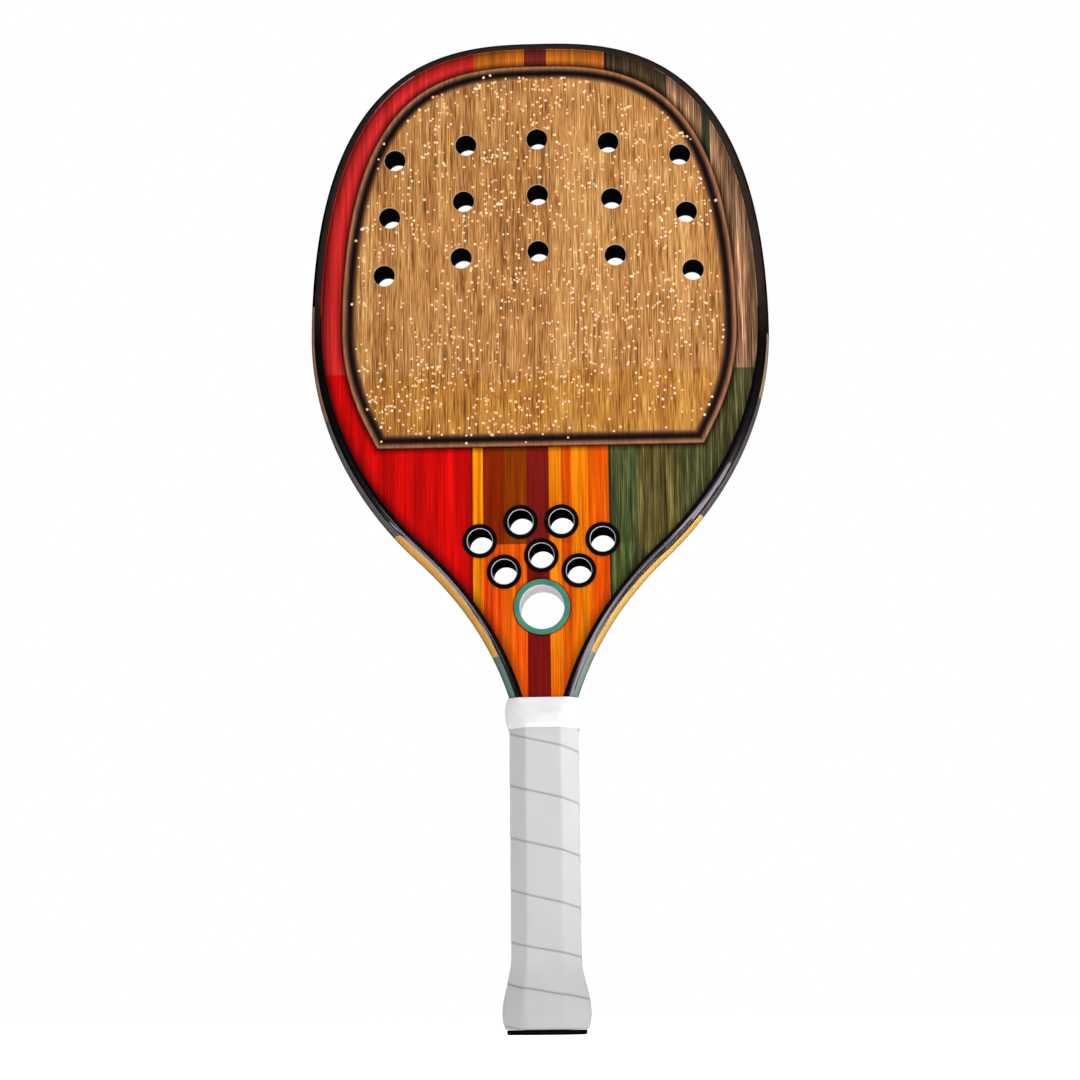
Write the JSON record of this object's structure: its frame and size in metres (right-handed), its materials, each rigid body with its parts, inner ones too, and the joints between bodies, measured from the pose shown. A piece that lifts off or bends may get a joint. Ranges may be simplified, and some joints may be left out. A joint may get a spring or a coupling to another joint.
{
  "type": "beach tennis racket",
  "caption": "Solid-faced paddle racket with a perforated foam-cored head, hollow rim, short throat and an octagonal taped handle.",
  "frame": {"origin": "middle of the butt cap's flat underside", "axes": "+Z along the handle towards the head, -Y out of the front hitting face, +X across the face"},
  "size_m": [0.23, 0.0396, 0.4985],
  "materials": {
    "rim": "clear-coated gloss black with printed side bands",
    "foam": "matt black closed-cell foam",
    "face": "clear-coated laminate printed with coloured wood stripes",
    "panel": "satin bamboo-look print with raised grit",
    "eyelet": "moulded satin black",
    "port_liner": "moulded white",
    "port_ring": "moulded teal",
    "pallet": "moulded rigid foam",
    "tape": "soft matt polyurethane grip tape",
    "collar": "soft white elastic",
    "cap": "moulded black"
  },
  "bodies": {
    "root": {"frame": "rim", "core": "foam", "front_skin": "face", "rear_skin": "face", "front_panel": "panel", "rear_panel": "panel", "neck_eyelet_1": "eyelet", "neck_eyelet_2": "eyelet", "neck_eyelet_3": "eyelet", "neck_eyelet_4": "eyelet", "neck_eyelet_5": "eyelet", "neck_eyelet_6": "eyelet", "neck_eyelet_7": "eyelet", "port_liner": "port_liner", "port_ring_front": "port_ring", "port_ring_rear": "port_ring", "handle_pallet_front": "pallet", "handle_pallet_rear": "pallet", "grip_tape": "tape", "grip_collar": "collar", "butt_cap": "cap"}
  },
  "joints": []
}
